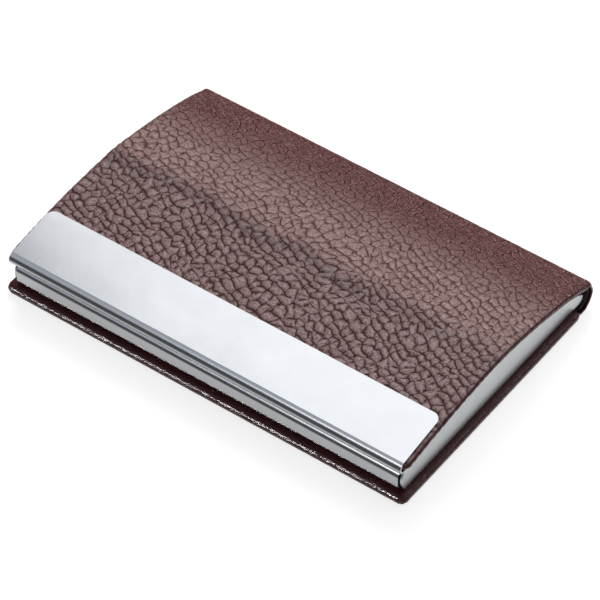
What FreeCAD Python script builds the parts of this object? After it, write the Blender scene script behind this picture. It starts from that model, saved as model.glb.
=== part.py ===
"""Business card case, 95 x 65 x 13 mm.

A steel card tray sits on a leather covered base board. One leather wrap runs round the back of the
case and carries a bowed, leather covered flap that closes over the tray. The flap's front edge has a
brushed steel clip, and a C shaped steel strip closes the tray's front and hides the catch's magnets.

Every sub-part is drawn in one design frame: X runs along the front edge from the middle, Y runs back
from the base's front edge and Z runs up from the table. Each Placement then moves the frame's origin
to the middle of the case, so the finished part stands on its bottom centre.
"""
import FreeCAD, Part
import Sketcher
import math
import os

# Alias, value in millimetres (slopes and angles in degrees), and what it is.
DIMENSIONS = (
    ("case_width", 95.0, "width of the base, the widest piece"),
    ("case_depth", 65.0, "front edge of the base to the back of the spine"),
    ("leather", 0.5, "thickness of the wrap where it covers a board"),
    ("slack", 0.1, "room left round a piece that is let into another"),
    ("base_depth", 60.5, "depth of the stiff part of the base"),
    ("base_thickness", 2.2, "base board with both layers of leather"),
    ("base_corner", 1.4, "corner radius of the base seen from above"),
    ("base_edge", 1.05, "rounding of the base's leather edges"),
    ("turn_in", 9.0, "width of the leather turned over a board's edge"),
    ("wrap_width", 93.8, "width of the wrap behind the boards"),
    ("wrap_thickness", 1.0, "leather and lining together in the spine"),
    ("lining", 0.4, "thickness of the black lining"),
    ("tongue_end", 62.28, "where the flat tongue of the base leather ends"),
    ("sheet", 0.4, "steel sheet of the tray, strip and clip"),
    ("tray_front", 2.6, "front face of the tray's front wall"),
    ("tray_rear", 62.5, "rear face of the tray"),
    ("tray_width", 92.0, "over the two end walls"),
    ("tray_bend", 1.2, "outer bend radius at the tray's rear"),
    ("tray_front_height", 4.4, "front wall above the base"),
    ("tray_rear_height", 1.6, "rear wall above the base"),
    ("end_wall_depth", 2.65, "end wall's top edge below the flap's top surface"),
    ("end_wall_nose", 3.56, "radius of the end wall's rounded front edge"),
    ("end_wall_first_slope", 10.2, "crown slope where the end wall's top edge starts"),
    ("end_wall_last_slope", 21.0, "crown slope where the end wall's top edge ends"),
    ("strip_front", 1.2, "front face of the steel strip"),
    ("strip_rear", 2.55, "rear edges of the steel strip"),
    ("strip_length", 90.6, "strip, between the two end walls"),
    ("strip_bottom", 2.25, "underside of the strip"),
    ("strip_top", 6.95, "top of the strip"),
    ("holder_length", 80.0, "magnet holder inside the strip"),
    ("holder_height", 2.8, "magnet holder"),
    ("holder_thickness", 0.8, "magnet holder and its magnets"),
    ("magnet_length", 16.0, "each magnet, along the front edge"),
    ("magnet_height", 2.0, "each lower magnet"),
    ("magnet_depth", 4.0, "each upper magnet, front to back"),
    ("magnet_spacing", 50.0, "between the centres of a pair of magnets"),
    ("spine_centre_y", 61.05, "centre of the spine's bend"),
    ("spine_centre_z", 3.8, "centre of the spine's bend"),
    ("spine_radius", 3.45, "middle of the wrap's thickness round the spine"),
    ("spine_low_angle", 55.0, "lower fold, below the level of the bend's centre"),
    ("spine_high_angle", 18.0, "upper fold, above the level of the bend's centre"),
    ("flap_width", 94.0, "width of the flap"),
    ("flap_thickness", 2.0, "flap board with both layers of leather"),
    ("flap_edge", 0.85, "rounding of the flap's side edges"),
    ("crown_start_y", 1.6, "front end of the flap's bowed top surface"),
    ("crown_start_z", 10.11, "front end of the flap's bowed top surface"),
    ("front_slope", 10.5, "slope of the top surface at its front end"),
    ("ridge_slope", 0.6, "slope where the ridge starts"),
    ("ridge_fall", 4.5, "downward slope where the ridge ends"),
    ("tail_fall", 15.0, "downward slope where the tail starts"),
    ("rear_fall", 24.0, "downward slope at the flap's rear end"),
    ("front_radius", 173.0, "top surface from the front to the ridge"),
    ("ridge_radius", 27.0, "top surface over the ridge"),
    ("back_radius", 130.0, "top surface behind the ridge"),
    ("tail_radius", 45.0, "top surface near the rear end"),
    ("board_first_slope", 10.3, "crown slope where the flap board starts"),
    ("board_last_fall", 22.5, "downward crown slope where the flap board ends"),
    ("window_first_slope", 7.4, "crown slope where the turn-ins' window starts"),
    ("window_last_fall", 13.0, "downward crown slope where the window ends"),
    ("clip_length", 92.6, "steel clip along the flap's front edge"),
    ("clip_last_slope", 6.37, "crown slope at the rear edge of the clip's top plate"),
    ("clip_lip_slope", 8.9, "crown slope at the rear edge of the clip's lower lip"),
    ("clip_corner", 1.8, "rear corner radius of the clip's top plate"),
    ("upper_magnet_y", 6.0, "middle of the upper magnets"),
    ("upper_magnet_z", 9.86, "middle of the upper magnets"),
    ("upper_magnet_slope", 8.9, "tilt of the upper magnets, with the front of the flap"),
    ("well_above_flap", 20.0, "height of a cut that goes right through the flap board"),
)

UPWARDS = FreeCAD.Vector(0, 0, 1)
ACROSS = FreeCAD.Vector(1, 0, 0)
SAME_PLACE = 0.01
CLEARLY_APART = 0.2

doc = FreeCAD.newDocument("business_card_case")
dims = doc.addObject("Spreadsheet::Sheet", "Dims")
for row, (alias, value, note) in enumerate(DIMENSIONS, start=1):
    dims.set(f"A{row}", note)
    dims.set(f"B{row}", str(value))
    dims.setAlias(f"B{row}", alias)
doc.recompute()

parts = []


def number(expression):
    """Value of an expression in the sheet's aliases, as a plain number."""
    return float(dims.evalExpression(str(expression)))


def new_part(label):
    """An empty body whose own frame is the design frame, placed about the case's middle."""
    body = doc.addObject("PartDesign::Body", label)
    body.Label = label
    body.setExpression("Placement.Base.y", "-Dims.case_depth / 2")
    parts.append(body)
    return body


def origin_plane(body, role):
    """One of a body's own origin planes."""
    return next(plane for plane in body.Origin.OriginFeatures if plane.Role == role)


def outline(body, role, corners, arcs=None, offset="0"):
    """A closed sketch on an origin plane, moved along the plane's normal by offset.

    corners holds a pair of expressions for each corner. arcs maps a side's number, counted from the
    first corner, to its bulge and radius: 1 bulges to the left of the side's direction, -1 to the right.
    Every arc is stored counterclockwise.
    """
    arcs = arcs or {}
    sketch = body.newObject("Sketcher::SketchObject", body.Label + "_outline")
    sketch.AttachmentSupport = [(origin_plane(body, role), "")]
    sketch.MapMode = "FlatFace"
    sketch.setExpression("AttachmentOffset.Base.z", offset)
    points = [FreeCAD.Vector(number(across), number(up), 0) for across, up in corners]
    first_ends = []
    last_ends = []
    for side, start in enumerate(points):
        end = points[(side + 1) % len(points)]
        if side in arcs:
            sign, radius = arcs[side]
            forward = sign < 0
            chord = end - start
            normal = FreeCAD.Vector(-chord.y, chord.x, 0).normalize() * sign
            length = number(radius)
            rise = length - math.sqrt(length ** 2 - (chord.Length / 2) ** 2)
            ends = (start, end) if forward else (end, start)
            edge = sketch.addGeometry(Part.Arc(ends[0], (start + end) / 2 + normal * rise, ends[1]), False)
            bend = sketch.addConstraint(Sketcher.Constraint("Radius", edge, length))
            sketch.setExpression(f"Constraints[{bend}]", radius)
        else:
            edge = sketch.addGeometry(Part.LineSegment(start, end), False)
            forward = True
        first_ends.append((edge, 1 if forward else 2))
        last_ends.append((edge, 2 if forward else 1))
    for side, (across, up) in enumerate(corners):
        edge, end = first_ends[side]
        before, its_end = last_ends[side - 1]
        sketch.addConstraint(Sketcher.Constraint("Coincident", before, its_end, edge, end))
        for kind, expression in (("DistanceX", across), ("DistanceY", up)):
            place = Sketcher.Constraint(kind, -1, 1, edge, end, number(expression))
            sketch.setExpression(f"Constraints[{sketch.addConstraint(place)}]", expression)
    return sketch


def rectangle(body, role, low, high, offset="0"):
    """A closed rectangle from its low corner to its high corner."""
    corners = [(low[0], low[1]), (high[0], low[1]), (high[0], high[1]), (low[0], high[1])]
    return outline(body, role, corners, offset=offset)


def pad(body, sketch, length, both_ways=False):
    """Material over the sketch, to one side of it or shared equally between both sides."""
    feature = body.newObject("PartDesign::Pad", body.Label + "_pad")
    feature.Profile = sketch
    feature.SideType = "Symmetric" if both_ways else "One side"
    feature.setExpression("Length", length)
    doc.recompute()
    return feature


def pocket(body, sketch, length, both_ways=False):
    """A cut over the sketch, along the sketch's own normal or shared between both sides."""
    before = body.Shape.Volume
    feature = body.newObject("PartDesign::Pocket", body.Label + "_pocket")
    feature.Profile = sketch
    feature.SideType = "Symmetric" if both_ways else "One side"
    feature.Reversed = not both_ways
    feature.setExpression("Length", length)
    doc.recompute()
    if body.Shape.Volume >= before - 1e-3:
        raise RuntimeError(f"the pocket in {body.Label} cuts nothing")
    return feature


def fillet(body, base, radius, chosen):
    """Round the edges of the base feature for which chosen(edge) is true."""
    names = [f"Edge{i}" for i, edge in enumerate(base.Shape.Edges, start=1) if chosen(edge)]
    feature = body.newObject("PartDesign::Fillet", body.Label + "_fillet")
    feature.Base = (base, names)
    feature.setExpression("Radius", radius)
    doc.recompute()
    return feature


def middle(edge):
    """Point half way along an edge."""
    return edge.valueAt((edge.FirstParameter + edge.LastParameter) / 2)


def is_along(edge, axis):
    """True for a straight edge that runs along the axis."""
    if len(edge.Vertexes) < 2 or edge.Curve.TypeId != "Part::GeomLine":
        return False
    run = edge.Vertexes[1].Point - edge.Vertexes[0].Point
    return abs(run.dot(axis)) > 0.999 * run.Length


# The crown is the flap's bowed top surface seen from the side: four arcs, each tangent to the next.
# Its slope falls steadily from front to back, so a slope names one place on it.
CROWN_SLOPES = (
    "Dims.front_slope",
    "Dims.ridge_slope",
    "-Dims.ridge_fall",
    "-Dims.tail_fall",
    "-Dims.rear_fall",
)
CROWN_RADII = ("Dims.front_radius", "Dims.ridge_radius", "Dims.back_radius", "Dims.tail_radius")


def crown_arc(slope):
    """Number of the crown's arc on which a slope lies."""
    value = number(slope)
    return next(i for i in range(len(CROWN_RADII)) if value >= number(CROWN_SLOPES[i + 1]) - 1e-9)


def crown_point(slope, depth):
    """Expressions for the place with this slope, this far below the surface along its normal."""
    y = "Dims.crown_start_y"
    z = "Dims.crown_start_z"
    last = crown_arc(slope)
    for i in range(last + 1):
        start = CROWN_SLOPES[i]
        end = slope if i == last else CROWN_SLOPES[i + 1]
        y += f" + {CROWN_RADII[i]} * (sin(1deg * ({start})) - sin(1deg * ({end})))"
        z += f" + {CROWN_RADII[i]} * (cos(1deg * ({end})) - cos(1deg * ({start})))"
    y += f" + ({depth}) * sin(1deg * ({slope}))"
    z += f" - ({depth}) * cos(1deg * ({slope}))"
    return y, z


def crown_run(first, last, depth):
    """Corners and radii along the crown at one depth, from the slope first to the slope last."""
    stops = [first]
    radii = []
    for i in range(crown_arc(first), crown_arc(last) + 1):
        radii.append(f"{CROWN_RADII[i]} - ({depth})")
        stops.append(last if i == crown_arc(last) else CROWN_SLOPES[i + 1])
    return [crown_point(slope, depth) for slope in stops], radii


def crown_band(first, last, top, bottom):
    """Corners and arcs of a curved slab between two depths below the crown."""
    upper, upper_radii = crown_run(first, last, top)
    lower, lower_radii = crown_run(first, last, bottom)
    arcs = {}
    for side, radius in enumerate(upper_radii):
        arcs[side] = (1, radius)
    for side, radius in enumerate(reversed(lower_radii)):
        arcs[len(upper) + side] = (-1, radius)
    return upper + lower[::-1], arcs


def nose_point(radius):
    """Foremost place, along the crown, of a round nose about the flap's front end."""
    y, z = crown_point("Dims.front_slope", "Dims.flap_thickness / 2")
    y += f" - ({radius}) * cos(1deg * Dims.front_slope)"
    z += f" - ({radius}) * sin(1deg * Dims.front_slope)"
    return y, z


def spine_point(angle, shift):
    """Expressions for a place on the spine's bend, shift outside the middle of its thickness."""
    y = f"Dims.spine_centre_y + (Dims.spine_radius + {shift}) * cos(1deg * ({angle}))"
    z = f"Dims.spine_centre_z + (Dims.spine_radius + {shift}) * sin(1deg * ({angle}))"
    return y, z


# Base -----------------------------------------------------------------------------------------

def make_base_board():
    body = new_part("base_board")
    low = ("-Dims.case_width / 2 + Dims.leather", "Dims.leather")
    high = ("Dims.case_width / 2 - Dims.leather", "Dims.base_depth - Dims.leather")
    plate = pad(body, rectangle(body, "XY_Plane", low, high, "Dims.leather"),
                "Dims.base_thickness - 2 * Dims.leather")
    fillet(body, plate, "Dims.base_corner - Dims.leather", lambda edge: is_along(edge, UPWARDS))


def make_base_leather():
    """The wrap under and round the base board, turned in over it, with a tongue to the spine."""
    body = new_part("base_leather")
    low = ("-Dims.case_width / 2", "0")
    high = ("Dims.case_width / 2", "Dims.base_depth")
    slab = pad(body, rectangle(body, "XY_Plane", low, high), "Dims.base_thickness")
    slab = fillet(body, slab, "Dims.base_corner", lambda edge: is_along(edge, UPWARDS))
    fillet(body, slab, "Dims.base_edge", lambda edge: not is_along(edge, UPWARDS))
    low = ("-Dims.wrap_width / 2", "Dims.base_depth - Dims.turn_in")
    high = ("Dims.wrap_width / 2", "Dims.tongue_end")
    pad(body, rectangle(body, "XY_Plane", low, high), "Dims.wrap_thickness")
    low = ("-Dims.case_width / 2 + Dims.leather", "Dims.leather")
    high = ("Dims.case_width / 2 - Dims.leather", "Dims.base_depth - Dims.leather")
    pocket(body, rectangle(body, "XY_Plane", low, high, "Dims.leather"),
           "Dims.base_thickness - 2 * Dims.leather")
    low = ("-Dims.case_width / 2 + Dims.turn_in", "Dims.turn_in")
    high = ("Dims.case_width / 2 - Dims.turn_in", "Dims.base_depth - Dims.turn_in")
    window = rectangle(body, "XY_Plane", low, high, "Dims.base_thickness - Dims.leather")
    pocket(body, window, "2 * Dims.leather")


def make_tray_tape():
    """Double sided tape that fills the window between the turn-ins and holds the tray."""
    body = new_part("tray_tape")
    low = ("-Dims.case_width / 2 + Dims.turn_in + Dims.slack", "Dims.turn_in + Dims.slack")
    high = ("Dims.case_width / 2 - Dims.turn_in - Dims.slack",
            "Dims.base_depth - Dims.turn_in - Dims.slack")
    pad(body, rectangle(body, "XY_Plane", low, high, "Dims.base_thickness - Dims.leather"), "Dims.leather")


def make_card_tray():
    """A folded sheet trough with an arched plate at each end, whose top edge follows the flap."""
    body = new_part("card_tray")
    floor = "Dims.base_thickness"
    corners = [
        ("Dims.tray_front", floor),
        ("Dims.tray_rear - Dims.tray_bend", floor),
        ("Dims.tray_rear", floor + " + Dims.tray_bend"),
        ("Dims.tray_rear", floor + " + Dims.tray_rear_height"),
        ("Dims.tray_rear - Dims.sheet", floor + " + Dims.tray_rear_height"),
        ("Dims.tray_rear - Dims.sheet", floor + " + Dims.tray_bend"),
        ("Dims.tray_rear - Dims.tray_bend", floor + " + Dims.sheet"),
        ("Dims.tray_front + Dims.sheet", floor + " + Dims.sheet"),
        ("Dims.tray_front + Dims.sheet", floor + " + Dims.tray_front_height"),
        ("Dims.tray_front", floor + " + Dims.tray_front_height"),
    ]
    arcs = {1: (-1, "Dims.tray_bend"), 5: (1, "Dims.tray_bend - Dims.sheet")}
    trough = outline(body, "YZ_Plane", corners, arcs)
    pad(body, trough, "Dims.tray_width - 2 * Dims.sheet", both_ways=True)
    crest, radii = crown_run("Dims.end_wall_first_slope", "-Dims.end_wall_last_slope",
                             "Dims.end_wall_depth")
    corners = crest + [
        ("Dims.tray_rear", floor + " + Dims.tray_rear_height"),
        ("Dims.tray_rear", floor + " + Dims.tray_bend"),
        ("Dims.tray_rear - Dims.tray_bend", floor),
        ("Dims.tray_front", floor),
    ]
    arcs = {side: (1, radius) for side, radius in enumerate(radii)}
    arcs[len(crest) + 1] = (1, "Dims.tray_bend")
    arcs[len(corners) - 1] = (1, "Dims.end_wall_nose")
    arch = outline(body, "YZ_Plane", corners, arcs, "Dims.tray_width / 2 - Dims.sheet")
    plate = pad(body, arch, "Dims.sheet")
    mirrored = body.newObject("PartDesign::Mirrored", "card_tray_mirror")
    mirrored.Originals = [plate]
    mirrored.MirrorPlane = (origin_plane(body, "YZ_Plane"), [""])
    body.Tip = mirrored


def make_front_strip():
    """C shaped strip with a flat front and round corners, open towards the tray's front wall."""
    body = new_part("front_strip")
    bend = "(Dims.strip_rear - Dims.strip_front)"
    inner = "(Dims.strip_front + Dims.sheet)"
    corners = [
        ("Dims.strip_rear", "Dims.strip_bottom"),
        ("Dims.strip_front", "Dims.strip_bottom + " + bend),
        ("Dims.strip_front", "Dims.strip_top - " + bend),
        ("Dims.strip_rear", "Dims.strip_top"),
        ("Dims.strip_rear", "Dims.strip_top - Dims.sheet"),
        (inner, "Dims.strip_top - " + bend),
        (inner, "Dims.strip_bottom + " + bend),
        ("Dims.strip_rear", "Dims.strip_bottom + Dims.sheet"),
    ]
    arcs = {0: (1, bend), 2: (1, bend), 4: (-1, bend + " - Dims.sheet"), 6: (-1, bend + " - Dims.sheet")}
    pad(body, outline(body, "YZ_Plane", corners, arcs), "Dims.strip_length", both_ways=True)


def magnet_place(side):
    """Expression for the middle of the left or right magnet of a pair."""
    return f"{side} * Dims.magnet_spacing / 2"


CATCH_HEIGHT = "(Dims.strip_bottom + Dims.strip_top) / 2"


def make_magnet_holder():
    """Plastic bar inside the strip, with a window for each lower magnet."""
    body = new_part("magnet_holder")
    low = ("-Dims.holder_length / 2", CATCH_HEIGHT + " - Dims.holder_height / 2")
    high = ("Dims.holder_length / 2", CATCH_HEIGHT + " + Dims.holder_height / 2")
    pad(body, rectangle(body, "XZ_Plane", low, high, "-Dims.strip_rear"), "Dims.holder_thickness")
    for side in (-1, 1):
        middle_x = magnet_place(side)
        low = (middle_x + " - Dims.magnet_length / 2 - Dims.slack",
               CATCH_HEIGHT + " - Dims.magnet_height / 2 - Dims.slack")
        high = (middle_x + " + Dims.magnet_length / 2 + Dims.slack",
                CATCH_HEIGHT + " + Dims.magnet_height / 2 + Dims.slack")
        pocket(body, rectangle(body, "XZ_Plane", low, high, "-Dims.strip_rear"), "Dims.holder_thickness")


def make_tray_magnets():
    for side, name in ((-1, "tray_magnet_left"), (1, "tray_magnet_right")):
        body = new_part(name)
        middle_x = magnet_place(side)
        low = (middle_x + " - Dims.magnet_length / 2", CATCH_HEIGHT + " - Dims.magnet_height / 2")
        high = (middle_x + " + Dims.magnet_length / 2", CATCH_HEIGHT + " + Dims.magnet_height / 2")
        pad(body, rectangle(body, "XZ_Plane", low, high, "-Dims.strip_rear"), "Dims.holder_thickness")


# Spine ----------------------------------------------------------------------------------------

def make_spine_layer(label, inner, outer):
    """One layer of the wrap round the back, between two shifts from the middle of its thickness."""
    body = new_part(label)
    corners = [
        spine_point("-Dims.spine_low_angle", outer),
        spine_point("0", outer),
        spine_point("Dims.spine_high_angle", outer),
        spine_point("Dims.spine_high_angle", inner),
        spine_point("0", inner),
        spine_point("-Dims.spine_low_angle", inner),
    ]
    outside = f"Dims.spine_radius + {outer}"
    inside = f"Dims.spine_radius + {inner}"
    arcs = {0: (-1, outside), 1: (-1, outside), 3: (1, inside), 4: (1, inside)}
    pad(body, outline(body, "YZ_Plane", corners, arcs), "Dims.wrap_width", both_ways=True)


# Flap -----------------------------------------------------------------------------------------

def make_flap_board():
    """Bowed stiffener, with a window for each upper magnet."""
    body = new_part("flap_board")
    corners, arcs = crown_band("Dims.board_first_slope", "-Dims.board_last_fall",
                               "Dims.leather", "Dims.flap_thickness - Dims.leather")
    plate = outline(body, "YZ_Plane", corners, arcs)
    pad(body, plate, "Dims.flap_width - 2 * Dims.leather", both_ways=True)
    for side in (-1, 1):
        middle_x = magnet_place(side)
        low = (middle_x + " - Dims.magnet_length / 2 - Dims.slack",
               "Dims.upper_magnet_y - Dims.magnet_depth / 2 - 2 * Dims.slack")
        high = (middle_x + " + Dims.magnet_length / 2 + Dims.slack",
                "Dims.upper_magnet_y + Dims.magnet_depth / 2 + 2 * Dims.slack")
        window = rectangle(body, "XY_Plane", low, high, "Dims.base_thickness")
        pocket(body, window, "Dims.well_above_flap")


def make_flap_leather():
    """The wrap over the flap board and round its edges, with a window between the turn-ins."""
    body = new_part("flap_leather")
    band, band_arcs = crown_band("Dims.front_slope", "-Dims.rear_fall", "0", "Dims.flap_thickness")
    corners = band + [nose_point("Dims.flap_thickness / 2")]
    arcs = dict(band_arcs)
    arcs[len(corners) - 2] = (1, "Dims.flap_thickness / 2")
    arcs[len(corners) - 1] = (1, "Dims.flap_thickness / 2")
    slab = pad(body, outline(body, "YZ_Plane", corners, arcs), "Dims.flap_width", both_ways=True)
    side_face = number("Dims.flap_width / 2") - SAME_PLACE
    rear = number(crown_point("-Dims.rear_fall", "Dims.flap_thickness / 2")[0])
    fillet(body, slab, "Dims.flap_edge",
           lambda edge: abs(middle(edge).x) > side_face and abs(middle(edge).y - rear) > CLEARLY_APART)
    corners, arcs = crown_band("Dims.board_first_slope", "-Dims.board_last_fall",
                               "Dims.leather", "Dims.flap_thickness - Dims.leather")
    room = outline(body, "YZ_Plane", corners, arcs)
    pocket(body, room, "Dims.flap_width - 2 * Dims.leather", both_ways=True)
    corners, arcs = crown_band("Dims.window_first_slope", "-Dims.window_last_fall",
                               "Dims.flap_thickness - Dims.leather", "Dims.flap_thickness + Dims.leather")
    window = outline(body, "YZ_Plane", corners, arcs)
    pocket(body, window, "Dims.flap_width - 2 * Dims.turn_in", both_ways=True)


def make_flap_lining():
    """Lining sheet let into the window under the flap board."""
    body = new_part("flap_lining")
    corners, arcs = crown_band("Dims.window_first_slope - Dims.slack",
                               "-Dims.window_last_fall + Dims.slack",
                               "Dims.flap_thickness - Dims.leather", "Dims.flap_thickness - Dims.slack")
    pad(body, outline(body, "YZ_Plane", corners, arcs),
        "Dims.flap_width - 2 * Dims.turn_in - 2 * Dims.slack", both_ways=True)


def make_front_clip():
    """Steel sheet folded round the flap's front edge: top plate, round nose and lower lip."""
    body = new_part("front_clip")
    top, top_radii = crown_run("Dims.front_slope", "Dims.clip_last_slope", "-Dims.sheet")
    seat, seat_radii = crown_run("Dims.front_slope", "Dims.clip_last_slope", "0")
    under, under_radii = crown_run("Dims.front_slope", "Dims.clip_lip_slope", "Dims.flap_thickness")
    lip, lip_radii = crown_run("Dims.front_slope", "Dims.clip_lip_slope",
                               "Dims.flap_thickness + Dims.sheet")
    inside = "Dims.flap_thickness / 2"
    outside = "Dims.flap_thickness / 2 + Dims.sheet"
    corners = top + seat[::-1] + [nose_point(inside)] + under + lip[::-1] + [nose_point(outside)]
    arcs = {
        0: (1, top_radii[0]),
        2: (-1, seat_radii[0]),
        3: (-1, inside),
        4: (-1, inside),
        5: (1, under_radii[0]),
        7: (-1, lip_radii[0]),
        8: (1, outside),
        9: (1, outside),
    }
    sheet_metal = pad(body, outline(body, "YZ_Plane", corners, arcs), "Dims.clip_length", both_ways=True)
    rear = number(crown_point("Dims.clip_last_slope", "0")[0]) - number("Dims.sheet")
    fillet(body, sheet_metal, "Dims.clip_corner",
           lambda edge: middle(edge).y > rear and not is_along(edge, ACROSS)
           and edge.Length < 2 * number("Dims.sheet"))


def make_flap_magnets():
    """Upper magnets, tilted with the front of the flap."""
    for side, name in ((-1, "flap_magnet_left"), (1, "flap_magnet_right")):
        body = new_part(name)
        low = ("-Dims.magnet_length / 2", "-Dims.magnet_depth / 2")
        high = ("Dims.magnet_length / 2", "Dims.magnet_depth / 2")
        plate = rectangle(body, "XY_Plane", low, high, "-Dims.holder_thickness / 2")
        pad(body, plate, "Dims.holder_thickness")
        body.setExpression("Placement.Base.x", magnet_place(side))
        body.setExpression("Placement.Base.y", "Dims.upper_magnet_y - Dims.case_depth / 2")
        body.setExpression("Placement.Base.z", "Dims.upper_magnet_z")
        body.setExpression("Placement.Rotation.Axis.x", "1")
        body.setExpression("Placement.Rotation.Axis.z", "0")
        body.setExpression("Placement.Rotation.Angle", "Dims.upper_magnet_slope")


make_base_board()
make_base_leather()
make_tray_tape()
make_card_tray()
make_front_strip()
make_magnet_holder()
make_tray_magnets()
make_spine_layer("spine_leather", "Dims.lining - Dims.wrap_thickness / 2", "Dims.wrap_thickness / 2")
make_spine_layer("spine_lining", "-Dims.wrap_thickness / 2", "Dims.lining - Dims.wrap_thickness / 2")
make_flap_board()
make_flap_leather()
make_flap_lining()
make_front_clip()
make_flap_magnets()
doc.recompute()

for item in doc.Objects:
    if "Invalid" in item.State or "Error" in item.State:
        raise RuntimeError(f"{item.Label} failed: {item.State}")
for body in parts:
    if body.Shape.isNull() or not body.Shape.isValid() or len(body.Shape.Solids) != 1:
        raise RuntimeError(f"{body.Label} is not one valid solid")

os.makedirs("parts", exist_ok=True)
for body in parts:
    body.Shape.exportStep(f"parts/{body.Label}.step")
    box = body.Shape.BoundBox
    print(f"{body.Label:18s} {body.Shape.Volume:9.1f} mm3  x {box.XMin:7.2f} {box.XMax:6.2f}"
          f"  y {box.YMin:7.2f} {box.YMax:6.2f}  z {box.ZMin:5.2f} {box.ZMax:5.2f}")
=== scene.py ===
"""Looks of the business card case: pebbled leather wrap, black lining, brushed and satin steel.

Places are in the design frame of the case in millimetres: X from the middle to the right, Y back from
the front edge of the base, Z up from the table. to_row() turns them into the row frame in metres.
"""
import math

import bmesh
import bpy
import numpy as np
from mathutils import Matrix, Vector


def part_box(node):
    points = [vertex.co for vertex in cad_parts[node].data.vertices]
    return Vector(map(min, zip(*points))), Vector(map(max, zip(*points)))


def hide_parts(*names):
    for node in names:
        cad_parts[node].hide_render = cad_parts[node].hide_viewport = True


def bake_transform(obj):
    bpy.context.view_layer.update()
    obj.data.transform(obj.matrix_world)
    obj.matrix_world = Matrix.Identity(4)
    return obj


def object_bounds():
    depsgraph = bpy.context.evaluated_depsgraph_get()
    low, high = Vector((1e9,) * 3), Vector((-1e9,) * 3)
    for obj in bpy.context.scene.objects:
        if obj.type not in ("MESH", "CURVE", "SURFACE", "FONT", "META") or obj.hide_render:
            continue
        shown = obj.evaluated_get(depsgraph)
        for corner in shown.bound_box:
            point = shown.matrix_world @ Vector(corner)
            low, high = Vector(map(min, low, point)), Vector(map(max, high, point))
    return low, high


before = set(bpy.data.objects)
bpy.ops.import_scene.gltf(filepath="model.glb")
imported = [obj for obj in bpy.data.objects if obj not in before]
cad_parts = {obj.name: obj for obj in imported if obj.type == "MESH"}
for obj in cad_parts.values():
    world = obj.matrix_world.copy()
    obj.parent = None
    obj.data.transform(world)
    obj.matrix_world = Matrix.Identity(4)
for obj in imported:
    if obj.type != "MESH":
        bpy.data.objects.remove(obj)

MM = 0.001
CAD_LOW, CAD_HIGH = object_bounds()
DEPTH = (CAD_HIGH.y - CAD_LOW.y) / MM
SEED = 7


def to_row(points):
    """Points of the design frame in millimetres, as row frame metres."""
    moved = np.array(points, float) * MM
    moved[:, 1] -= DEPTH * MM / 2
    return moved


def smooth(x, low, high):
    """0 below low, 1 above high and a smooth step between."""
    t = np.clip((np.asarray(x, float) - low) / (high - low), 0, 1)
    return t * t * (3 - 2 * t)


# The wrap's outer surface seen from the side ---------------------------------------------------

STEP = 0.25
FINE_STEP = 0.15


def arc(start, heading, radius, turn, step=STEP):
    """Points after start along an arc; turn is positive to the left, both angles in degrees."""
    count = max(2, math.ceil(abs(math.radians(turn)) * radius / step))
    side = math.copysign(1, turn)
    heading = math.radians(heading)
    y = start[0] - side * radius * math.sin(heading)
    z = start[1] + side * radius * math.cos(heading)
    angles = heading + np.radians(turn) * np.arange(1, count + 1) / count
    return [(y + side * radius * math.sin(a), z - side * radius * math.cos(a)) for a in angles]


def line(start, end, step=STEP):
    """Points after start on a straight run."""
    count = max(1, math.ceil(math.dist(start, end) / step))
    return [tuple(a + (b - a) * i / count for a, b in zip(start, end)) for i in range(1, count + 1)]


def bend(start, heading, end, end_heading, pull, step=FINE_STEP):
    """Points after start on a cubic curve that leaves and arrives along the two headings."""
    leaving, arriving = math.radians(heading), math.radians(end_heading)
    a, d = np.array(start), np.array(end)
    b = a + pull * np.array([math.cos(leaving), math.sin(leaving)])
    c = d - pull * np.array([math.cos(arriving), math.sin(arriving)])
    count = max(4, math.ceil(np.linalg.norm(d - a) / step))
    points = []
    for i in range(1, count + 1):
        t = i / count
        first = (1 - t) ** 3 * a + 3 * t * (1 - t) ** 2 * b
        second = 3 * t * t * (1 - t) * c + t ** 3 * d
        points.append(tuple(first + second))
    return points


class Path:
    """A curve in the YZ plane, measured by its length, with its outward normal to the right of it."""

    def __init__(self, points):
        self.points = np.array(points, float)
        steps = np.hypot(*np.diff(self.points, axis=0).T)
        self.at = np.concatenate([[0], np.cumsum(steps)])
        self.length = self.at[-1]
        tangents = np.gradient(self.points, self.at, axis=0)
        self.tangents = tangents / np.linalg.norm(tangents, axis=1)[:, None]

    def place(self, s):
        """Positions, tangents and outward normals at these lengths, as (y, z) rows."""
        s = np.asarray(s, float)
        p = np.stack([np.interp(s, self.at, self.points[:, k]) for k in (0, 1)], 1)
        t = np.stack([np.interp(s, self.at, self.tangents[:, k]) for k in (0, 1)], 1)
        t /= np.linalg.norm(t, axis=1)[:, None]
        return p, t, np.stack([t[:, 1], -t[:, 0]], 1)


# Sizes in millimetres. Places in the side view are (y, z), slopes and angles are in degrees.
BASE_THICKNESS = 2.2
FLAP_THICKNESS = 2.0
LEATHER = 0.5
WRAP_IN_SPINE = 0.6
BASE_HALF_WIDTH = round(CAD_HIGH.x / MM, 3)
SPINE_HALF_WIDTH = 46.9
FLAP_WIDENING = 0.25
BASE_BOARD_END = 60.4
TONGUE_END = 62.2
SPINE_CENTRE = (61.05, 3.8)
SPINE_OUTSIDE = 3.95
SPINE_LOW, SPINE_HIGH = -55.0, 18.0
LOW_FOLD_PULL, HIGH_FOLD_PULL = 0.5, 0.75
CUT_DROP = 0.3
RIDGE = (32.5, 13.0)
CROWN_START = (1.6, 10.11)

# The crown's arcs from its rear end to its front end: radius, fall at the rear and fall at the front.
CROWN_TURNS = ((45.0, 24.0, 15.0), (130.0, 15.0, 4.5), (27.0, 4.5, -0.6), (173.0, -0.6, -10.5))


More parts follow.
